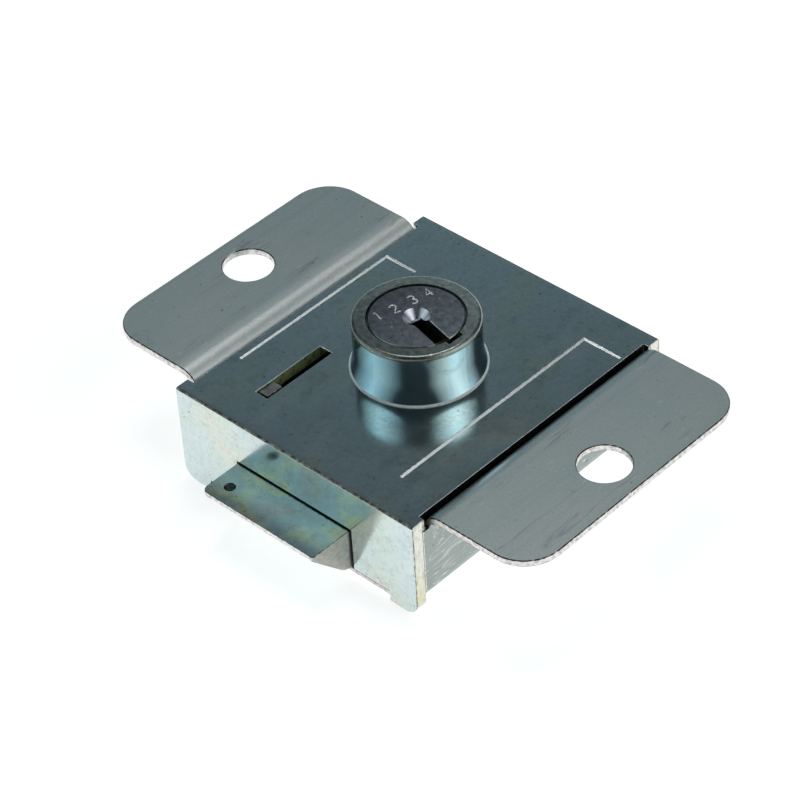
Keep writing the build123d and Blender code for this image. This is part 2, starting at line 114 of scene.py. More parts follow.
# Levels and places read from the frame
PLATE_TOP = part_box("case")[1].z
WALL_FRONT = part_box("case")[0].y
WALL_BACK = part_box("case")[1].y
CASE_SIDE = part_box("case")[1].x
BASE_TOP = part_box("slide_rails")[0].z
BOLT_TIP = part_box("bolt_head")[0].y
HEAD_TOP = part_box("cylinder_shell")[1].z
PLUG_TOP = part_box("plug")[1].z

# How far a face may lie from the place where it belongs
NEAR = 0.1 * MM
CLOSE = 0.05 * MM
EXACT = 0.01 * MM

# How a mesh of sheet is cleaned: points this close are one, and angles in degrees tell flat from sharp
WELD = 0.002 * MM
FLAT_ANGLE = 0.3
CORNER_ANGLE = 30
CREASE_ANGLE = 50

# The case: its sheet, its bends as built and as shown, its sides, its slot, and the ends of its walls
PLATE_UNDER = PLATE_TOP - 2.0 * MM
CASE_BEND = 1.0 * MM
SHOWN_BEND = 0.38 * MM
CASE_EDGE = 0.09 * MM
PLATE_SIDE_START = 21 * MM
SLOT_LEFT = -15 * MM
SLOT_RIGHT = -9 * MM
WALL_END_DEPTH = 2.5 * MM
YELLOW_START = -8 * MM
YELLOW_END = -16 * MM

# The lines pressed into the plate: depth at their inner and outer sides, and how far out they reach
MARK_DEPTH = 0.12 * MM
MARK_OUTER_DEPTH = 0.02 * MM
MARK_FLOOR = PLATE_TOP - 1.2 * MARK_DEPTH
MARK_REACH_X = 22 * MM
MARK_REACH_Y = 20.5 * MM

# The pan: its ears' bends and the painted highlight on the left one, the shoulders under them, and the ends
# of its base
PAN_EDGE_WIDTH = 0.14 * MM
EAR_BEND_START = 22.0 * MM
EAR_BEND_BRIGHT = 22.6 * MM
EAR_BEND_FADE = 27.4 * MM
EAR_FACE_LEVEL = -3.3 * MM
BEND_ROUGHNESS = 0.50
SHOULDER_START = 23.7 * MM
SHOULDER_LEVEL = BASE_TOP + 1 * MM
BASE_END_REACH = 18.5 * MM
BASE_END_SHADE = BASE_TOP - 0.42 * MM
BASE_END_DARK = BASE_TOP - 0.34 * MM

# The bolt's head and slide, the nozzle's foot with its painted highlight, and the faces inside it
HEAD_EDGE = 0.10 * MM
SLIDE_EDGE = 0.06 * MM
FOOT_LINE = 0.34 * MM
FOOT_FADE = 0.08 * MM
FACE_REACH = 9 * MM
BORE_REACH = 7.45 * MM
SHELL_EDGE_DEPTH = 0.13 * MM
DISH_REACH = 2.0 * MM
DISH_DEPTH = 1.3 * MM

# The number on the plug's face: four figures in a row across the key's way in
FIGURE_ROW = ((-4.36, -3.48), (-3.63, -0.78), (-3.02, 2.44), (-2.47, 5.11))
FIGURE_HEIGHT = 1.85 * MM
FIGURE_WIDTH = 0.95 * MM
FIGURE_TURN = 76.0
FIGURE_LINE = 0.30 * MM
FIGURE_FLATNESS = 0.4
ARC_STEPS = 14

# The painted highlight along the keyway's +Y edge, from the dish to the rim, before the plug's own turn
KEYWAY_TURN = -13.5
KEYWAY_SIDE = 1.04 * MM
KEYWAY_PLACES = (2.0 * MM, 3.2 * MM, 4.4 * MM, 5.6 * MM, 6.85 * MM)
KEYWAY_DEPTH = 0.05 * MM
KEYWAY_LINE = 0.07 * MM

BODY_OF_NODE = {
    node: body for body, nodes in frame["record"]["behaviour"]["bodies"].items() for node in nodes
}


class Paint:
    """A material under construction: its node tree, and short calls for the nodes used here."""

    def __init__(self, name):
        self.material = bpy.data.materials.new(name)
        self.material.use_nodes = True
        self.tree = self.material.node_tree
        self.shader = self.tree.nodes["Principled BSDF"]
        self.place = self.tree.nodes.new("ShaderNodeTexCoord").outputs["Object"]

    def join(self, source, socket):
        self.tree.links.new(source, socket)

    def stretched(self, x, y, z):
        """Object coordinates in metres, scaled along each axis."""
        node = self.tree.nodes.new("ShaderNodeMapping")
        node.inputs["Scale"].default_value = (x, y, z)
        self.join(self.place, node.inputs["Vector"])
        return node.outputs["Vector"]

    def noise(self, x, y, z, detail=3.0, roughness=0.55):
        """Noise with so many features to the metre along each axis, from 0 to 1."""
        node = self.tree.nodes.new("ShaderNodeTexNoise")
        node.inputs["Scale"].default_value = 1.0
        node.inputs["Detail"].default_value = detail
        node.inputs["Roughness"].default_value = roughness
        self.join(self.stretched(x, y, z), node.inputs["Vector"])
        return node.outputs["Fac"]

    def ramp(self, value, *stops):
        """A colour or grey for each value, from pairs of place and colour."""
        node = self.tree.nodes.new("ShaderNodeValToRGB")
        elements = node.color_ramp.elements
        while len(elements) < len(stops):
            elements.new(0.5)
        for element, (place, colour) in zip(elements, stops):
            element.position = place
            shade = colour if isinstance(colour, tuple) else (colour, colour, colour)
            element.color = (*shade, 1.0)
        self.join(value, node.inputs["Fac"])
        return node.outputs["Color"]

    def mix(self, share, first, second, kind="MIX"):
        """Mixes two colours; each may be a socket or a fixed colour."""
        node = self.tree.nodes.new("ShaderNodeMix")
        node.data_type = "RGBA"
        node.blend_type = kind
        for value, name in ((share, "Factor"), (first, "A"), (second, "B")):
            sockets = [s for s in node.inputs if s.name == name and s.enabled]
            if isinstance(value, (tuple, float, int)):
                sockets[0].default_value = (*value, 1.0) if isinstance(value, tuple) else value
            else:
                self.join(value, sockets[0])
        return [s for s in node.outputs if s.enabled][0]

    def along(self, axis, start, end):
        """0 to 1 between two places along an axis, in metres."""
        split = self.tree.nodes.new("ShaderNodeSeparateXYZ")
        self.join(self.place, split.inputs[0])
        node = self.tree.nodes.new("ShaderNodeMapRange")
        node.inputs["From Min"].default_value = start
        node.inputs["From Max"].default_value = end
        self.join(split.outputs[axis], node.inputs["Value"])
        return node.outputs["Result"]

    def scratches(self, x, y, z, width, patches, start):
        """Thin broken lines: where a noise crosses its middle value, inside patches of another noise."""
        crossing = self.noise(x, y, z, 5.0, 0.6)
        lines = self.ramp(crossing, (0.5 - width, 0.0), (0.5, 1.0), (0.5 + width, 0.0))
        mask = self.ramp(self.noise(patches, patches, patches, 2.0), (start, 0.0), (start + 0.03, 1.0))
        return self.mix(1.0, lines, mask, "MULTIPLY")

    def colour(self, source):
        self.join(source, self.shader.inputs["Base Color"])

    def roughness(self, source):
        self.join(source, self.shader.inputs["Roughness"])

    def bump(self, height, strength, distance):
        """Bump from a grey height, as deep as the distance in metres."""
        node = self.tree.nodes.new("ShaderNodeBump")
        node.inputs["Strength"].default_value = strength
        node.inputs["Distance"].default_value = distance
        self.join(height, node.inputs["Height"])
        self.join(node.outputs["Normal"], self.shader.inputs["Normal"])


def metal(name):
    """A paint that starts as bare metal."""
    paint = Paint(name)
    paint.shader.inputs["Metallic"].default_value = 1.0
    return paint


def plate_paint(name, shade, specked):
    """Bright blue-passivated zinc: mirror-like and grained, faintly clouded in blue, green and brown, with
    pale specks as painted glints.
    """
    paint = metal(name)
    clouds = paint.noise(75, 75, 75, 5.0)
    tint = paint.ramp(clouds, (0.30, (0.68, 0.77, 0.73)), (0.45, (0.71, 0.82, 0.84)),
                      (0.55, (0.72, 0.82, 0.76)), (0.66, (0.82, 0.81, 0.72)))
    grain = paint.noise(1700, 1700, 1700, 4.0, 0.7)
    tint = paint.mix(paint.ramp(grain, (0.42, 0.0), (0.66, 0.5)), tint, (0.52, 0.60, 0.58))
    stains = paint.noise(330, 200, 330, 5.0, 0.75)
    tint = paint.mix(paint.ramp(stains, (0.53, 0.0), (0.70, 0.55)), tint, (0.44, 0.50, 0.46))
    marks = paint.scratches(160, 120, 160, 0.008, 150, 0.58)
    tint = paint.mix(marks, tint, (0.42, 0.46, 0.43))
    specks = paint.ramp(paint.noise(1700, 1700, 1700, 2.0), (specked, 0.0), (specked + 0.025, 0.85))
    tint = paint.mix(specks, tint, (0.16, 0.17, 0.15))
    # Sparse pale specks: painted glints
    bright = paint.ramp(paint.noise(2300, 2300, 2300, 2.0), (0.66, 0.0), (0.72, 0.6))
    tint = paint.mix(bright, tint, (0.95, 0.97, 0.94))
    # A shade below one darkens every colour: painted shade
    paint.colour(paint.mix(1.0, tint, (shade, shade, shade), "MULTIPLY"))
    paint.roughness(paint.ramp(paint.noise(140, 90, 140, 5.0), (0.3, 0.13), (0.7, 0.21)))
    paint.bump(paint.noise(1300, 700, 1300, 5.0), 0.25, 0.015 * MM)
    return paint.material


def pan_paint(name, shade, scratch, bend=None):
    """Satin zinc on thinner sheet: grey-green and fine-grained, with broken scratches along the lock.

    Towards a bend, given as two places along X, it gets lighter, a painted highlight, and rougher, with pale
    spots that are partly rubbing and partly painted highlight."""
    paint = metal(name)
    # A shade below one darkens every colour: painted shade
    light, middle, grey = [
        tuple(shade * part for part in colour)
        for colour in ((0.74, 0.80, 0.77), (0.70, 0.78, 0.75), (0.66, 0.77, 0.75))
    ]
    clouds = paint.noise(70, 50, 70, 4.0)
    tint = paint.ramp(clouds, (0.3, grey), (0.5, middle), (0.7, light))
    streaks = paint.noise(420, 9, 420, 3.0, 0.6)
    tint = paint.mix(paint.ramp(streaks, (0.52, 0.0), (0.74, 0.4)), tint, (0.50, 0.55, 0.54))
    grain = paint.noise(2600, 2600, 2600, 4.0, 0.75)
    tint = paint.mix(paint.ramp(grain, (0.46, 0.0), (0.62, 0.35)), tint, (0.46, 0.51, 0.49))
    long_lines = paint.scratches(75, 7, 75, 0.006, 70, 0.50)
    tint = paint.mix(long_lines, tint, scratch)
    short_lines = paint.scratches(150, 90, 150, 0.006, 150, 0.60)
    tint = paint.mix(short_lines, tint, scratch)
    specks = paint.ramp(paint.noise(1300, 950, 1300, 4.0), (0.69, 0.0), (0.72, 0.8))
    tint = paint.mix(specks, tint, (0.12, 0.13, 0.12))
    scuffs = paint.ramp(paint.noise(2300, 500, 2300, 3.0), (0.63, 0.0), (0.70, 0.7))
    tint = paint.mix(scuffs, tint, (0.92, 0.96, 0.94))
    texture = paint.ramp(grain, (0.3, 0.34), (0.7, 0.44))
    # Towards the bend: a painted highlight, lighter, rougher and spotted pale
    if bend:
        nearness = paint.along("X", *bend)
        tint = paint.mix(nearness, tint, paint.mix(0.75, tint, (0.98, 0.99, 0.98)))
        spots = paint.ramp(paint.noise(1500, 1100, 1500, 3.0, 0.7), (0.56, 0.0), (0.62, 1.0))
        rubbing_and_highlight = paint.mix(1.0, spots, nearness, "MULTIPLY")
        tint = paint.mix(rubbing_and_highlight, tint, (0.98, 0.99, 0.99))
        soft = paint.ramp(nearness, (0.0, 0.0), (0.5, 1.0))
        texture = paint.mix(soft, texture, (BEND_ROUGHNESS, BEND_ROUGHNESS, BEND_ROUGHNESS))
    paint.colour(tint)
    paint.roughness(texture)
    paint.bump(grain, 0.25, 0.012 * MM)
    return paint.material


def rail_paint(name):
    """The base's end under the wall: pale pinkish zinc, dark where the wall shades it."""
    paint = metal(name)
    wear = paint.noise(1500, 1500, 1500, 4.0, 0.7)
    tint = paint.ramp(wear, (0.36, (0.52, 0.47, 0.47)), (0.56, (0.80, 0.76, 0.76)))
    shade = paint.along("Z", BASE_END_SHADE, BASE_END_DARK)
    paint.colour(paint.mix(shade, tint, (0.05, 0.045, 0.045)))
    paint.roughness(paint.ramp(wear, (0.3, 0.50), (0.7, 0.36)))
    return paint.material


def wear_and_shade_paint(name, dark, light, start, end, rough=0.32):
    """Corners, sheared edges, bends and gaps: a noise between a dark and a light colour, dark in specks; on
    the plate's sides, the pan's shoulders and the bore's edge the dark is painted shade.
    """
    paint = metal(name)
    wear = paint.noise(1500, 1500, 1500, 4.0, 0.7)
    paint.colour(paint.ramp(wear, (start, dark), (end, light)))
    paint.roughness(paint.ramp(wear, (0.3, rough + 0.18), (0.7, rough)))
    paint.bump(wear, 0.4, 0.03 * MM)
    return paint.material


def bared_and_highlight_paint(name, dark, light):
    """Pale matt metal that shows bright against a mirror finish: crushed by a tool on the slot's sides and
    the figures, a painted highlight on the keyway's edge.
    """
    material = wear_and_shade_paint(name, dark, light, start=0.30, end=0.50)
    material.node_tree.nodes["Principled BSDF"].inputs["Metallic"].default_value = 0.25
    return material


def end_face_paint():
    """The ends of the folded walls: cream, yellower lower down, dark and dotted along both edges."""
    paint = metal("wall_ends")
    wear = paint.noise(1500, 1500, 900, 4.0, 0.7)
    upper = paint.ramp(wear, (0.36, (0.62, 0.62, 0.55)), (0.54, (0.80, 0.80, 0.72)))
    lower = paint.ramp(wear, (0.36, (0.58, 0.53, 0.32)), (0.54, (0.80, 0.75, 0.51)))
    tint = paint.mix(paint.along("Z", YELLOW_START, YELLOW_END), upper, lower)
    dots = paint.ramp(paint.noise(2500, 2500, 1800, 3.0), (0.40, 0.95), (0.58, 0.35))
    for outer, depth in ((WALL_FRONT, WALL_END_DEPTH), (WALL_BACK, -WALL_END_DEPTH)):
        across = paint.along("Y", outer, outer + depth)
        edges = paint.ramp(across, (0.07, 1.0), (0.11, 0.0), (0.76, 0.0), (0.79, 1.0))
        dots = paint.mix(1.0, edges, dots, "MULTIPLY")
    tint = paint.mix(dots, tint, (0.07, 0.065, 0.05))
    paint.colour(tint)
    paint.roughness(paint.ramp(wear, (0.3, 0.45), (0.7, 0.30)))
    paint.bump(wear, 0.3, 0.02 * MM)
    return paint.material


def nozzle_paint():
    """Bright zinc with a teal passivation, lightly pitted, and white and matt along its foot as a painted
    highlight.
    """
    paint = metal("plated_nozzle")
    clouds = paint.noise(160, 160, 90, 4.0)
    tint = paint.ramp(clouds, (0.32, (0.50, 0.75, 0.90)), (0.50, (0.57, 0.80, 0.95)),
                      (0.68, (0.68, 0.82, 0.88)))
    pits = paint.ramp(paint.noise(2300, 2300, 2300, 3.0), (0.67, 0.0), (0.72, 0.7))
    tint = paint.mix(pits, tint, (0.22, 0.28, 0.29))
    # The foot: a painted highlight, white, matt and not metallic
    foot = paint.along("Z", PLATE_TOP + FOOT_LINE, PLATE_TOP + FOOT_LINE - FOOT_FADE)
    paint.colour(paint.mix(foot, tint, (0.98, 0.99, 0.99)))
    paint.join(paint.ramp(foot, (0.0, 1.0), (1.0, 0.0)), paint.shader.inputs["Metallic"])
    polish = paint.ramp(paint.noise(400, 400, 120, 4.0), (0.3, 0.14), (0.7, 0.19))
    paint.roughness(paint.mix(foot, polish, (0.45, 0.45, 0.45)))
    paint.bump(paint.noise(1300, 1300, 1300, 4.0), 0.25, 0.012 * MM)
    return paint.material


def cast_paint(name, dark, light, rough, sparkle, axis="Y", shadiest=1.0, brightest=1.0):
    """A plated zinc casting: flat, grainy and specked, and darker towards one side, a painted shade."""
    paint = metal(name)
    grain = paint.noise(1100, 1100, 1100, 4.0, 0.7)
    tint = paint.ramp(grain, (0.35, dark), (0.66, light))
    # Darker towards one end of the axis: painted shade
    across = paint.ramp(paint.along(axis, -FACE_REACH, FACE_REACH), (0.0, shadiest), (1.0, brightest))
    tint = paint.mix(1.0, tint, across, "MULTIPLY")
    specks = paint.ramp(paint.noise(2600, 2600, 2600, 3.0), (0.64, 0.0), (0.71, 0.85))
    paint.colour(paint.mix(specks, tint, sparkle))
    paint.roughness(paint.ramp(grain, (0.3, rough), (0.7, rough + 0.12)))
    paint.bump(grain, 0.3, 0.02 * MM)
    return paint.material


def bolt_paint():
    """Rainbow passivation: blue-grey, crossed by bands of green and yellow, and brownish in patches."""
    paint = metal("bolt_passivated")
    bend = paint.noise(160, 160, 160, 3.0)
    bands = paint.noise(55, 110, 110, 2.0)
    tint = paint.ramp(bands, (0.30, (0.43, 0.44, 0.41)), (0.42, (0.39, 0.51, 0.55)),
                      (0.50, (0.40, 0.54, 0.57)), (0.545, (0.53, 0.65, 0.50)), (0.575, (0.62, 0.60, 0.38)),
                      (0.61, (0.45, 0.58, 0.54)), (0.72, (0.41, 0.45, 0.52)))
    tint = paint.mix(paint.ramp(bend, (0.5, 0.0), (0.72, 0.6)), tint, (0.46, 0.43, 0.38))
    grain = paint.noise(1500, 1500, 1500, 4.0, 0.7)
    tint = paint.mix(paint.ramp(grain, (0.48, 0.0), (0.68, 0.45)), tint, (0.58, 0.66, 0.66))
    stains = paint.noise(600, 500, 600, 5.0, 0.75)
    tint = paint.mix(paint.ramp(stains, (0.52, 0.0), (0.68, 0.5)), tint, (0.28, 0.33, 0.32))
    specks = paint.ramp(paint.noise(1900, 1900, 1900, 3.0), (0.66, 0.0), (0.71, 0.8))
    tint = paint.mix(specks, tint, (0.14, 0.14, 0.12))
    marks = paint.scratches(200, 200, 200, 0.010, 200, 0.55)
    paint.colour(paint.mix(marks, tint, (0.20, 0.22, 0.21)))
    paint.roughness(paint.ramp(paint.noise(180, 180, 180, 4.0), (0.3, 0.20), (0.7, 0.32)))
    paint.bump(paint.noise(1300, 900, 1300, 5.0), 0.3, 0.015 * MM)
    return paint.material


def plain_metal_paint(name, dark, light, rough):
    """Drawn or turned metal with a fine grain."""
    paint = metal(name)
    grain = paint.noise(500, 500, 500, 3.0)
    paint.colour(paint.ramp(grain, (0.3, dark), (0.7, light)))
    paint.roughness(paint.ramp(grain, (0.3, rough), (0.7, rough + 0.12)))
    return paint.material


def floor_paint():
    """A pale matt floor that glows under and behind the lock, as a light table does."""
    paint = Paint("floor")
    grain = paint.noise(3, 3, 3, 2.0)
    paint.colour(paint.ramp(grain, (0.3, (0.80, 0.80, 0.80)), (0.7, (0.82, 0.82, 0.82))))
    paint.shader.inputs["Roughness"].default_value = 0.9
    paint.shader.inputs["Emission Color"].default_value = (1.0, 1.0, 1.0, 1.0)
    azimuth = radians(VIEW_AZIMUTH)
    reach = paint.tree.nodes.new("ShaderNodeVectorMath")
    reach.operation = "DISTANCE"
    reach.inputs[1].default_value = (-GLOW_PLACE * sin(azimuth), GLOW_PLACE * cos(azimuth), 0)
    paint.join(paint.place, reach.inputs[0])
    glow = paint.tree.nodes.new("ShaderNodeMapRange")
    glow.interpolation_type = "SMOOTHSTEP"
    glow.inputs["From Min"].default_value = GLOW_FADE_START
    glow.inputs["From Max"].default_value = GLOW_FADE_END
    glow.inputs["To Min"].default_value = FLOOR_GLOW
    glow.inputs["To Max"].default_value = FLOOR_GLOW_FAR
    paint.join(reach.outputs["Value"], glow.inputs["Value"])
    paint.join(glow.outputs["Result"], paint.shader.inputs["Emission Strength"])
    return paint.material


def link(piece):
    """Puts an object in the scene."""
    bpy.context.scene.collection.objects.link(piece)
    return piece


def stand_in(node, mesh, materials):
    """Shows a mesh in place of a CAD node, on the same body."""
    for material in materials:
        mesh.materials.append(material)
    piece = link(bpy.data.objects.new(f"{node}_shown", mesh))
    piece.matrix_world = frame["nodes"][node].matrix_world.copy()
    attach(piece, BODY_OF_NODE[node])
    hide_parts(node)
    return piece


def tighten_bends(shape):
    """Pulls the case's two outer bends nearer to their corners: they look almost sharp."""
    pull = 1 - SHOWN_BEND / CASE_BEND
    for vert in shape.verts:
        for wall, way in ((WALL_FRONT, 1), (WALL_BACK, -1)):
            inward = (vert.co.y - wall) * way
            down = PLATE_TOP - vert.co.z
            if inward <= CASE_BEND and down <= CASE_BEND and inward + down < 1.05 * CASE_BEND:
                vert.co.y -= way * inward * pull
                vert.co.z += down * pull


def slope_marks(shape):
    """Slopes the floors of the pressed lines down towards the camera's side, so that they catch light."""
    floor = {vert for vert in shape.verts if abs(PLATE_TOP - MARK_DEPTH - vert.co.z) < EXACT}
    outer = set()
    for vert in floor:
        walls = [face.normal for face in vert.link_faces if abs(face.normal.z) < 0.1]
        if any(normal.x > 0.9 or normal.y < -0.9 for normal in walls):
            outer.add(vert)
    for vert in outer:
        vert.co.z = PLATE_TOP - MARK_OUTER_DEPTH
    for face in list(shape.faces):
        corners = [vert for vert in face.verts if vert in floor]
        if len(corners) == len(face.verts) == 6:
            back_left = min(corners, key=lambda vert: vert.co.x - vert.co.y)
            others = [vert for vert in corners if vert not in outer]
            inner = min(others, key=lambda vert: (vert.co - back_left.co).length)
            bmesh.ops.connect_verts(shape, verts=[back_left, inner])


def sheet_copy(node, materials, edge, keep_sharp=None, reshape=()):
    """A CAD node of bent sheet or bar with its sharp edges rounded off in the second material."""
    shape = bmesh.new()
    shape.from_mesh(frame["nodes"][node].data)
    bmesh.ops.remove_doubles(shape, verts=shape.verts, dist=WELD)
    bmesh.ops.dissolve_limit(shape, angle_limit=radians(FLAT_ANGLE), verts=shape.verts, edges=shape.edges)
    for change in reshape:
        change(shape)
    for face in shape.faces:
        face.smooth = True
        face.material_index = 0
    corners = [
        line for line in shape.edges
        if len(line.link_faces) == 2
        and line.calc_face_angle(0.0) > radians(CORNER_ANGLE)
        and not (keep_sharp and keep_sharp(line))
    ]
    bmesh.ops.bevel(
        shape, geom=corners, offset=edge, offset_type="OFFSET", segments=2, profile=0.5,
        affect="EDGES", clamp_overlap=False, material=1,
    )
    for line in shape.edges:
        line.smooth = line.calc_face_angle(0.0) < radians(CREASE_ANGLE)
    mesh = bpy.data.meshes.new(f"{node}_shown")
    shape.to_mesh(mesh)
    shape.free()
    piece = stand_in(node, mesh, materials)
    normals = piece.modifiers.new("flat faces", "WEIGHTED_NORMAL")
    normals.weight = 100
    normals.keep_sharp = True
    return piece


def turned_copy(node, materials):
    """A CAD node of revolution, as it is."""
    mesh = frame["nodes"][node].data.copy()
    mesh.name = f"{node}_shown"
    mesh.materials.clear()
    return stand_in(node, mesh, materials)


def paint_faces(piece, material, chosen):
    """Gives one of the piece's materials to the faces that the test picks from their middle and direction."""
    index = list(piece.data.materials).index(material)
    for face in piece.data.polygons:
        if chosen(face.center, face.normal):
            face.material_index = index


def is_mark(middle):
    """Inside one of the two lines pressed into the plate."""
    return MARK_FLOOR < middle.z < PLATE_TOP - EXACT and abs(middle.y) < MARK_REACH_Y


def is_mark_line(line):
    """An edge of the lines pressed into the plate."""
    low = min(vert.co.z for vert in line.verts)
    middle = (line.verts[0].co + line.verts[1].co) / 2
    floor = [face for face in line.link_faces if is_mark(face.calc_center_median())]
    return low > MARK_FLOOR and bool(floor) and abs(middle.x) < MARK_REACH_X


def figure_strokes():
    """The four figures as lines in a box one unit wide and two high."""
    def arc(x, y, across, up, start, end):
        turns = [radians(start + (end - start) * step / ARC_STEPS) for step in range(ARC_STEPS + 1)]
        return [(x + across * cos(turn), y + up * sin(turn)) for turn in turns]
    one = [[(0.15, 1.6), (0.5, 2.0), (0.5, 0.0)]]
    two = [arc(0.5, 1.5, 0.5, 0.5, 170, -30) + [(0.0, 0.0), (1.0, 0.0)]]
    three = [arc(0.5, 1.52, 0.46, 0.48, 150, -90), arc(0.5, 0.52, 0.5, 0.52, 90, -150)]
    four = [[(0.75, 0.0), (0.75, 2.0), (0.0, 0.6), (1.0, 0.6)]]
    return one, two, three, four


def wire(name, strokes, radius, smoothness, material, place):
    """Round wire along each stroke, put in its place and turning with the plug."""
    curve = bpy.data.curves.new(name, "CURVE")
    curve.dimensions = "3D"
    curve.bevel_depth = radius
    curve.bevel_resolution = smoothness
    curve.use_fill_caps = True
    for stroke in strokes:
        spline = curve.splines.new("POLY")
        spline.points.add(len(stroke) - 1)
        for point, spot in zip(spline.points, stroke):
            point.co = (*spot, 1)
    curve.materials.append(material)
    piece = link(bpy.data.objects.new(name, curve))
    piece.matrix_world = place
    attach(piece, "plug")


def engrave_figures(material):
    """Bright lines half sunk in the plug's face, one object for each figure."""
    turn = Matrix.Rotation(radians(FIGURE_TURN), 4, "Z") @ Matrix.Diagonal((1, 1, FIGURE_FLATNESS, 1))
    for number, (strokes, (x, y)) in enumerate(zip(figure_strokes(), FIGURE_ROW), start=1):
        sized = [
            [((across - 0.5) * FIGURE_WIDTH, (up / 2 - 0.5) * FIGURE_HEIGHT, 0) for across, up in stroke]
            for stroke in strokes
        ]
        place = Matrix.Translation((x * MM, y * MM, PLUG_TOP)) @ turn
        wire(f"figure_{number}", sized, FIGURE_LINE / 2, 2, material, place)


def draw_keyway_highlight(material):
    """A painted highlight: a bright line along one edge of the keyway."""
    turn = Matrix.Rotation(radians(KEYWAY_TURN), 4, "Z")
    places = [turn @ Vector((x, KEYWAY_SIDE, PLUG_TOP - KEYWAY_DEPTH)) for x in KEYWAY_PLACES]
    wire("keyway_edge", [places], KEYWAY_LINE, 1, material, Matrix.Identity(4))


def place_camera():
    """The camera at the photograph's angle, distance and focal length."""
    az, el, roll = radians(VIEW_AZIMUTH), radians(VIEW_ELEVATION), radians(VIEW_ROLL)
    back = Vector((sin(az) * cos(el), -cos(az) * cos(el), sin(el)))
    right = (-back).cross(Vector((0, 0, 1))).normalized()
    up = right.cross(-back)
    place = VIEW_CENTRE + back * VIEW_DISTANCE + right * VIEW_SHIFT_RIGHT + up * VIEW_SHIFT_UP
    across = cos(roll) * right + sin(roll) * up
    upward = -sin(roll) * right + cos(roll) * up
    data = bpy.data.cameras.new("camera")
    data.sensor_width = SENSOR_WIDTH
    data.lens = FOCAL_PIXELS * SENSOR_WIDTH / PICTURE_PIXELS
    data.clip_start = CLIP_START
    data.clip_end = CLIP_END
    camera = link(bpy.data.objects.new("camera", data))
    turn = Matrix((across, upward, back)).transposed().to_4x4()
    camera.matrix_world = Matrix.Translation(place) @ turn
    bpy.context.scene.camera = camera


def softbox(name, turn, rise, distance, width, height, radiance, tint=(1.0, 1.0, 1.0)):
    """A light facing the lock, placed by its angle to the right of the camera."""
    azimuth, elevation = radians(VIEW_AZIMUTH + turn), radians(rise)
    way = Vector((sin(azimuth) * cos(elevation), -cos(azimuth) * cos(elevation), sin(elevation)))
    data = bpy.data.lights.new(name, "AREA")
    data.shape = "RECTANGLE"
    data.size = width
    data.size_y = height
    data.energy = radiance * pi * width * height
    data.color = tint
    light = link(bpy.data.objects.new(name, data))
    light.location = way * distance
    light.rotation_euler = way.to_track_quat("Z", "Y").to_euler()
    light.visible_camera = False


def graded_softbox(name, turn, fall, tint):
    """A softbox that fades evenly to both sides: strips one in front of the other, the widest first."""
    widest, narrowest, peak = fall
    for number in range(SOFTBOX_STRIPS):
        half_angle = widest + (narrowest - widest) * number / (SOFTBOX_STRIPS - 1)
        width = 2 * tan(radians(half_angle))
        distance = SOFTBOX_DISTANCE - STRIP_GAP * number
        softbox(f"{name}_{number + 1}", turn, SOFTBOX_RISE, distance, width, SOFTBOX_HEIGHT,
                peak / SOFTBOX_STRIPS, tint)


def surround():
    """A dim studio round the lock, a little lighter and bluer low down behind it."""
    world = bpy.data.worlds.new("surround")
    bpy.context.scene.world = world
    world.use_nodes = True
    tree = world.node_tree
    place = tree.nodes.new("ShaderNodeTexCoord").outputs["Generated"]
    side = tree.nodes.new("ShaderNodeVectorMath")
    side.operation = "DOT_PRODUCT"
    azimuth, rise = radians(VIEW_AZIMUTH), radians(SURROUND_RISE)
    side.inputs[1].default_value = (-sin(azimuth) * cos(rise), cos(azimuth) * cos(rise), sin(rise))
    tree.links.new(place, side.inputs[0])
    ramp = tree.nodes.new("ShaderNodeMapRange")
    ramp.interpolation_type = "SMOOTHSTEP"
    ramp.inputs["From Min"].default_value = SURROUND_START
    ramp.inputs["From Max"].default_value = 1.0
    tree.links.new(side.outputs["Value"], ramp.inputs["Value"])
    mix = tree.nodes.new("ShaderNodeMix")
    mix.data_type = "RGBA"
    tree.links.new(ramp.outputs["Result"], mix.inputs["Factor"])
    shades = [socket for socket in mix.inputs if socket.type == "RGBA"]
    shades[0].default_value = (*SURROUND, 1)
    shades[1].default_value = (*SURROUND_BACK, 1)
    output = [socket for socket in mix.outputs if socket.type == "RGBA"][0]
    tree.links.new(output, tree.nodes["Background"].inputs["Color"])


def light_scene():
    """Overhead light for the floor and a softbox on each side."""
    surround()
    softbox("light_overhead", OVERHEAD_TURN, OVERHEAD_RISE, OVERHEAD_DISTANCE, OVERHEAD_SIZE, OVERHEAD_SIZE,
            OVERHEAD_RADIANCE)
    graded_softbox("light_left", LEFT_TURN, LEFT_FALL, LEFT_TINT)
    graded_softbox("light_right", RIGHT_TURN, RIGHT_FALL, RIGHT_TINT)


def lay_floor():
    """A wide floor under the lock."""
    shape = bmesh.new()
    bmesh.ops.create_grid(shape, x_segments=1, y_segments=1, size=FLOOR_HALF_WIDTH)
    mesh = bpy.data.meshes.new("floor")
    shape.to_mesh(mesh)
    shape.free()
    mesh.materials.append(floor_paint())
    floor = link(bpy.data.objects.new("floor", mesh))
    floor.location.z = FLOOR_LEVEL


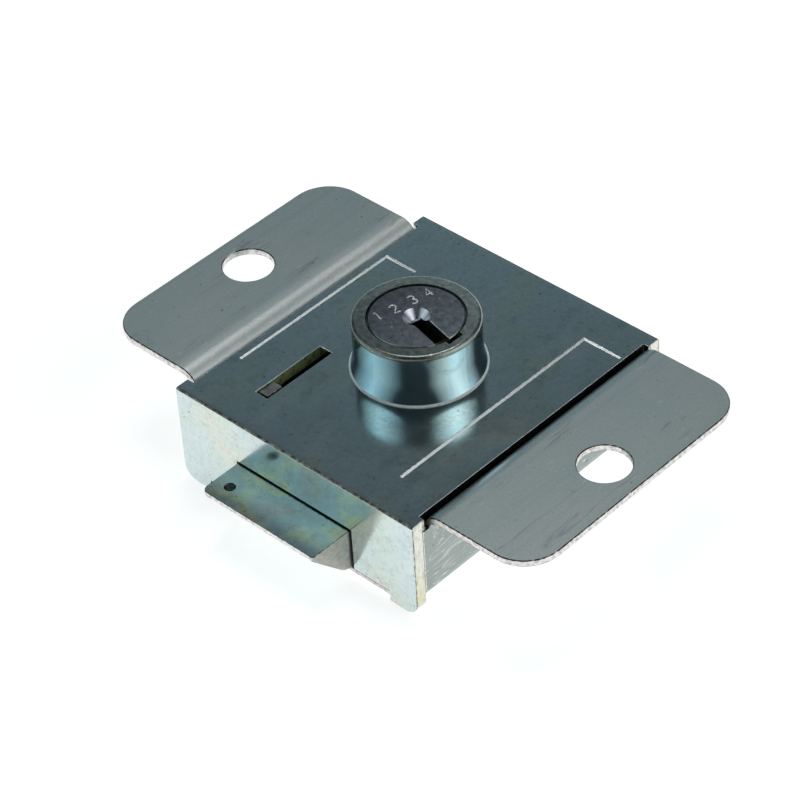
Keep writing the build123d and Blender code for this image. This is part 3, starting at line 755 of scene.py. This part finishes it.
def show_case():
    """The case, with its pressed lines, its sheared sides in painted shade and its walls in a darker copy of
    the plate's paint as painted shade, each painted apart.
    """
    materials = (PLATE, PLATE_EDGE, SHADED_PLATE_SIDES, END_FACE, MARK, SLOT_SIDE, FRONT_BEND, WALL_RIM, SHADED_CASE_WALLS)
    changes = (slope_marks, tighten_bends)
    case = sheet_copy("case", materials, CASE_EDGE, is_mark_line, changes)

    def in_bend(at):
        beside_wall = at.y < WALL_FRONT + CASE_BEND or at.y > WALL_BACK - CASE_BEND
        return beside_wall and PLATE_TOP - at.z < CASE_BEND

    # The plate's sheared sides, near black: painted shade
    paint_faces(case, SHADED_PLATE_SIDES, lambda at, way: abs(way.x) > 0.6
                and abs(at.x) > PLATE_SIDE_START and at.z > PLATE_UNDER - NEAR)
    paint_faces(case, END_FACE, lambda at, way: abs(way.x) > 0.9 and abs(at.x) > CASE_SIDE - CLOSE)
    paint_faces(case, MARK, lambda at, way: way.z > 0.9 and is_mark(at))
    paint_faces(case, SLOT_SIDE, lambda at, way: abs(way.x) > 0.9
                and SLOT_LEFT < at.x < SLOT_RIGHT and at.y < 0)
    paint_faces(case, FRONT_BEND, lambda at, way: 0.15 < way.z < 0.995 and abs(way.x) < 0.1 and in_bend(at))
    # The front and back walls get the darker copy of the plate's paint: painted shade
    paint_faces(case, SHADED_CASE_WALLS, lambda at, way: abs(way.y) > 0.98 and not PLATE_UNDER < at.z < PLATE_TOP)
    paint_faces(case, WALL_RIM, lambda at, way: way.y < -0.2
                and at.y < WALL_FRONT + NEAR and at.x < NEAR - CASE_SIDE)


def show_pan():
    """The pan, with its rims, its left ear with a painted highlight towards its bend, its walls and shoulders
    in painted shade, and the ends of its base painted apart.
    """
    materials = (PAN, PAN_EDGE, PAN_RIM, LEFT_EAR_HIGHLIGHTED, SHADED_PAN_WALLS, BASE_END)
    pan = sheet_copy("back_pan", materials, PAN_EDGE_WIDTH)
    paint_faces(pan, PAN_RIM, lambda at, way: abs(way.z) < 0.3
                and (abs(at.x) > EAR_BEND_START or abs(way.y) > 0.9))
    # The shoulders under the case's wall ends: dark, painted shade
    paint_faces(pan, PAN_EDGE, lambda at, way: way.z > 0.3
                and abs(at.y) > SHOULDER_START and at.z > SHOULDER_LEVEL)
    # The left ear and its bend get the paint with the painted highlight
    paint_faces(pan, LEFT_EAR_HIGHLIGHTED, lambda at, way: way.z > 0.05 and abs(way.y) < 0.1 and abs(way.x) < 0.999
                and at.x < -EAR_BEND_START and at.z > EAR_FACE_LEVEL)
    # The pan's walls get the darker copy of its paint: painted shade
    paint_faces(pan, SHADED_PAN_WALLS, lambda at, way: abs(way.x) > 0.9 and abs(way.y) < 0.1
                and abs(at.x) < CASE_SIDE + NEAR)
    paint_faces(pan, BASE_END, lambda at, way: abs(way.y) > 0.9
                and at.z < BASE_TOP and abs(at.x) < BASE_END_REACH)


def show_bolt():
    """The bolt's head, with its sides and its nose painted apart, and its slide."""
    head = sheet_copy("bolt_head", (BOLT, BOLT_EDGE, BOLT_SIDE, BOLT_NOSE), HEAD_EDGE)
    paint_faces(head, BOLT_SIDE, lambda at, way: abs(way.x) > 0.9)
    paint_faces(head, BOLT_NOSE, lambda at, way: way.y < -0.9 and at.y < BOLT_TIP + NEAR)
    sheet_copy("bolt_slide", (SLIDE, BOLT_EDGE), SLIDE_EDGE)


def show_cylinder():
    """The nozzle, the shell with its bore's edge painted dark as the gap's shade, and the plug with its dish,
    number and a painted highlight on its keyway.
    """
    turned_copy("nozzle_sleeve", (NOZZLE,))
    shell = turned_copy("cylinder_shell", (SHELL, GAP_SHADE))
    # The bore's edge: near black, painted shade in the gap round the plug
    paint_faces(shell, GAP_SHADE, lambda at, way: 0.2 < way.z < 0.95
                and at.z > HEAD_TOP - SHELL_EDGE_DEPTH and at.xy.length < BORE_REACH)
    plug = turned_copy("plug", (PLUG, DISH))
    paint_faces(plug, DISH, lambda at, way: 0.2 < way.z < 0.99
                and at.xy.length < DISH_REACH and PLUG_TOP - DISH_DEPTH < at.z < PLUG_TOP - EXACT)
    engrave_figures(FIGURE)
    draw_keyway_highlight(KEYWAY_HIGHLIGHT)


place_camera()
light_scene()
lay_floor()
bpy.context.scene.view_settings.view_transform = "Standard"

# Paints of the case
PLATE = plate_paint("plated_plate", shade=1.0, specked=0.715)
# The case's walls: the plate's paint a little darker, a painted shade
SHADED_CASE_WALLS = plate_paint("plated_walls_shaded", shade=0.92, specked=0.735)
PLATE_EDGE = wear_and_shade_paint("plate_corners", (0.20, 0.21, 0.19), (0.88, 0.92, 0.88), start=0.40, end=0.58)
# Near black on the plate's sheared sides: painted shade
SHADED_PLATE_SIDES = wear_and_shade_paint("plate_sides_painted_shade", (0.012, 0.014, 0.013), (0.05, 0.06, 0.055), start=0.45, end=0.62)
END_FACE = end_face_paint()
MARK = wear_and_shade_paint("pressed_lines", (0.78, 0.88, 0.90), (0.94, 0.99, 1.00), start=0.30, end=0.50, rough=0.30)
FRONT_BEND = wear_and_shade_paint("front_bend", (0.07, 0.07, 0.06), (0.38, 0.36, 0.34), start=0.40, end=0.68)
WALL_RIM = wear_and_shade_paint("wall_rim", (0.05, 0.05, 0.045), (0.62, 0.62, 0.58), start=0.40, end=0.60)
SLOT_SIDE = bared_and_highlight_paint("slot_sides", (0.08, 0.07, 0.02), (0.50, 0.56, 0.28))

# Paints of the pan
PAN = pan_paint("plated_pan", 1.0, (0.50, 0.55, 0.54))
# The left ear: the pan's paint with a painted highlight towards its bend
LEFT_EAR_HIGHLIGHTED = pan_paint("left_ear_highlighted", 1.0, (0.50, 0.55, 0.54), (-EAR_BEND_FADE, -EAR_BEND_BRIGHT))
# The pan's walls: its paint darkened, a painted shade under the ears
SHADED_PAN_WALLS = pan_paint("pan_walls_shaded", 0.46, (0.56, 0.58, 0.57))
PAN_EDGE = wear_and_shade_paint("pan_corners", (0.02, 0.02, 0.018), (0.62, 0.59, 0.57), start=0.52, end=0.64)
PAN_RIM = wear_and_shade_paint("pan_sheared", (0.46, 0.42, 0.41), (0.84, 0.81, 0.80), start=0.34, end=0.54)
BASE_END = rail_paint("base_ends")

# Paints of the nozzle and the cylinder
NOZZLE = nozzle_paint()
SHELL = cast_paint("cylinder_zinc", (0.42, 0.47, 0.43), (0.62, 0.68, 0.63), rough=0.26,
                   sparkle=(0.72, 0.74, 0.72), axis="Y", shadiest=0.46, brightest=0.96)
# Near black: painted shade in the gap round the plug
GAP_SHADE = wear_and_shade_paint("gap_painted_shade", (0.01, 0.01, 0.01), (0.05, 0.05, 0.05), start=0.40, end=0.70)
PLUG = cast_paint("plug_zinc", (0.35, 0.37, 0.40), (0.49, 0.52, 0.56), rough=0.26,
                  sparkle=(0.70, 0.70, 0.74), axis="X", shadiest=0.42, brightest=0.96)
DISH = cast_paint("dish", (0.62, 0.62, 0.74), (0.90, 0.90, 0.98), rough=0.25, sparkle=(0.9, 0.9, 0.95))
FIGURE = bared_and_highlight_paint("figures", (0.80, 0.78, 0.76), (0.98, 0.97, 0.96))
# A bright line along the keyway's edge: painted highlight
KEYWAY_HIGHLIGHT = bared_and_highlight_paint("keyway_edges", (0.50, 0.52, 0.52), (0.92, 0.94, 0.94))

# Paints of the bolt
BOLT = bolt_paint()
BOLT_EDGE = wear_and_shade_paint("bolt_corners", (0.02, 0.02, 0.018), (0.60, 0.58, 0.52), start=0.52, end=0.66)
BOLT_SIDE = wear_and_shade_paint("bolt_sides", (0.38, 0.38, 0.34), (0.50, 0.50, 0.46), start=0.34, end=0.62)
BOLT_NOSE = wear_and_shade_paint("bolt_nose", (0.40, 0.37, 0.36), (0.86, 0.83, 0.82), start=0.36, end=0.56)
SLIDE = cast_paint("slide_steel", (0.24, 0.24, 0.23), (0.38, 0.38, 0.37), rough=0.32, sparkle=(0.6, 0.6, 0.6))

# Paints of the pieces inside
BRASS = plain_metal_paint("brass_grain", (0.16, 0.12, 0.05), (0.30, 0.23, 0.10), rough=0.35)
SPRING = plain_metal_paint("spring_grain", (0.48, 0.49, 0.50), (0.66, 0.67, 0.68), rough=0.22)
STEEL = plain_metal_paint("steel_grain", (0.52, 0.54, 0.55), (0.70, 0.72, 0.73), rough=0.28)

show_case()
show_pan()
show_bolt()
show_cylinder()

PAINT_OF_SLOT = {
    "plated_plate": PLATE, "plated_pan": PAN, "plated_nozzle": NOZZLE, "cylinder_zinc": SHELL,
    "plug_zinc": PLUG, "bolt_passivated": BOLT, "brass": BRASS, "spring_steel": SPRING, "bright_steel": STEEL,
}
for part in frame["record"]["subparts"]:
    mesh = frame["nodes"][part["node"]].data
    mesh.materials.clear()
    mesh.materials.append(PAINT_OF_SLOT[part["material_slot"]])
